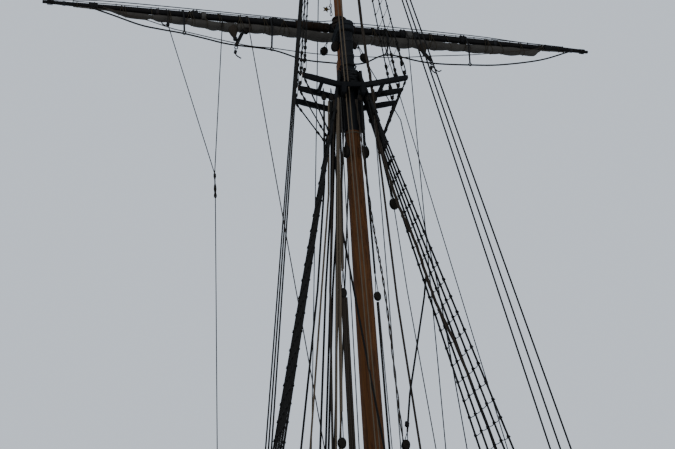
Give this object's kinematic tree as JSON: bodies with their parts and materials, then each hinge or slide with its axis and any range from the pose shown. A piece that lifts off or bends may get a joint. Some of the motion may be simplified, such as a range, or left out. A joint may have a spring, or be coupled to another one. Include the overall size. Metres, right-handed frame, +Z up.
{
  "type": "rigged mast of a square-rigged tall ship",
  "caption": "Deck-stepped wooden lower mast with crosstrees, cap, fidded topmast, tarred shrouds and stays, and black topsail yards with furled canvas.",
  "frame": {"origin": "middle of the mast shoe's underside, on the deck", "axes": "+X to starboard, +Y forward, +Z up along the mast"},
  "size_m": [12.721, 15.92, 25.07],
  "materials": {
    "oiled_pine": "oiled, satin",
    "black_paint": "black paint on wood",
    "black_iron": "black paint on iron",
    "tarred_rope": "tarred hemp",
    "elm": "dark oiled",
    "canvas": "weathered canvas"
  },
  "bodies": {
    "mast": {"mast_shoe": "black_iron", "lower_mast": "oiled_pine", "spider_band": "black_iron", "fife_rail_aft": "oiled_pine", "lower_cap": "black_paint", "topmast": "oiled_pine", "topmast_fid": "black_iron", "truck": "black_paint", "crosstree_aft": "black_paint", "crosstree_middle": "black_paint", "crosstree_fore": "black_paint", "forestay": "tarred_rope", "forestay_deck_plate": "black_iron", "topmast_stay": "tarred_rope", "topmast_stay_deck_plate": "black_iron", "truss_crane": "black_iron", "cheek_port": "black_paint", "cheek_starboard": "black_paint", "trestletree_port": "black_paint", "trestletree_starboard": "black_paint", "lower_shrouds_port": "tarred_rope", "lower_shrouds_starboard": "tarred_rope", "channel_port": "black_paint", "channel_starboard": "black_paint", "futtock_shrouds_port": "tarred_rope", "futtock_shrouds_starboard": "tarred_rope", "topmast_shrouds_port": "tarred_rope", "topmast_shrouds_starboard": "tarred_rope", "hanging_block_port": "elm", "hanging_block_starboard": "elm", "fife_rail_side_port": "oiled_pine", "fife_rail_side_starboard": "oiled_pine", "fife_post_inner_port": "oiled_pine", "fife_post_inner_starboard": "oiled_pine", "fife_post_aft_port": "oiled_pine", "fife_post_aft_starboard": "oiled_pine", "fife_post_fore_port": "oiled_pine", "fife_post_fore_starboard": "oiled_pine", "backstay_port_1": "tarred_rope", "backstay_port_2": "tarred_rope", "backstay_port_3": "tarred_rope", "backstay_starboard_1": "tarred_rope", "backstay_starboard_2": "tarred_rope", "backstay_starboard_3": "tarred_rope"},
    "parrel_body": {"parrel": "black_iron"},
    "lower_topsail_yard_body": {"lower_topsail_yoke": "black_iron", "lower_topsail_yard": "black_paint", "lower_topsail_furled_sail": "canvas"},
    "upper_topsail_yard_body": {"upper_topsail_yoke": "black_iron", "upper_topsail_yard": "black_paint", "upper_topsail_furled_sail": "canvas"}
  },
  "joints": [
    {"name": "lower_topsail_brace", "type": "hinge", "parent": "mast", "child": "lower_topsail_yard_body", "pos_m": [0, 0.9, 15.8], "axis": [0, 0, 1], "range_deg": [-36, 23]},
    {"name": "upper_topsail_hoist", "type": "slide", "parent": "mast", "child": "parrel_body", "axis": [0, 0, 1], "range_m": [0, 3.3]},
    {"name": "upper_topsail_brace", "type": "hinge", "parent": "parrel_body", "child": "upper_topsail_yard_body", "pos_m": [0, 0.765, 17.4], "axis": [0, 0, 1], "range_deg": [-36, 23]}
  ]
}
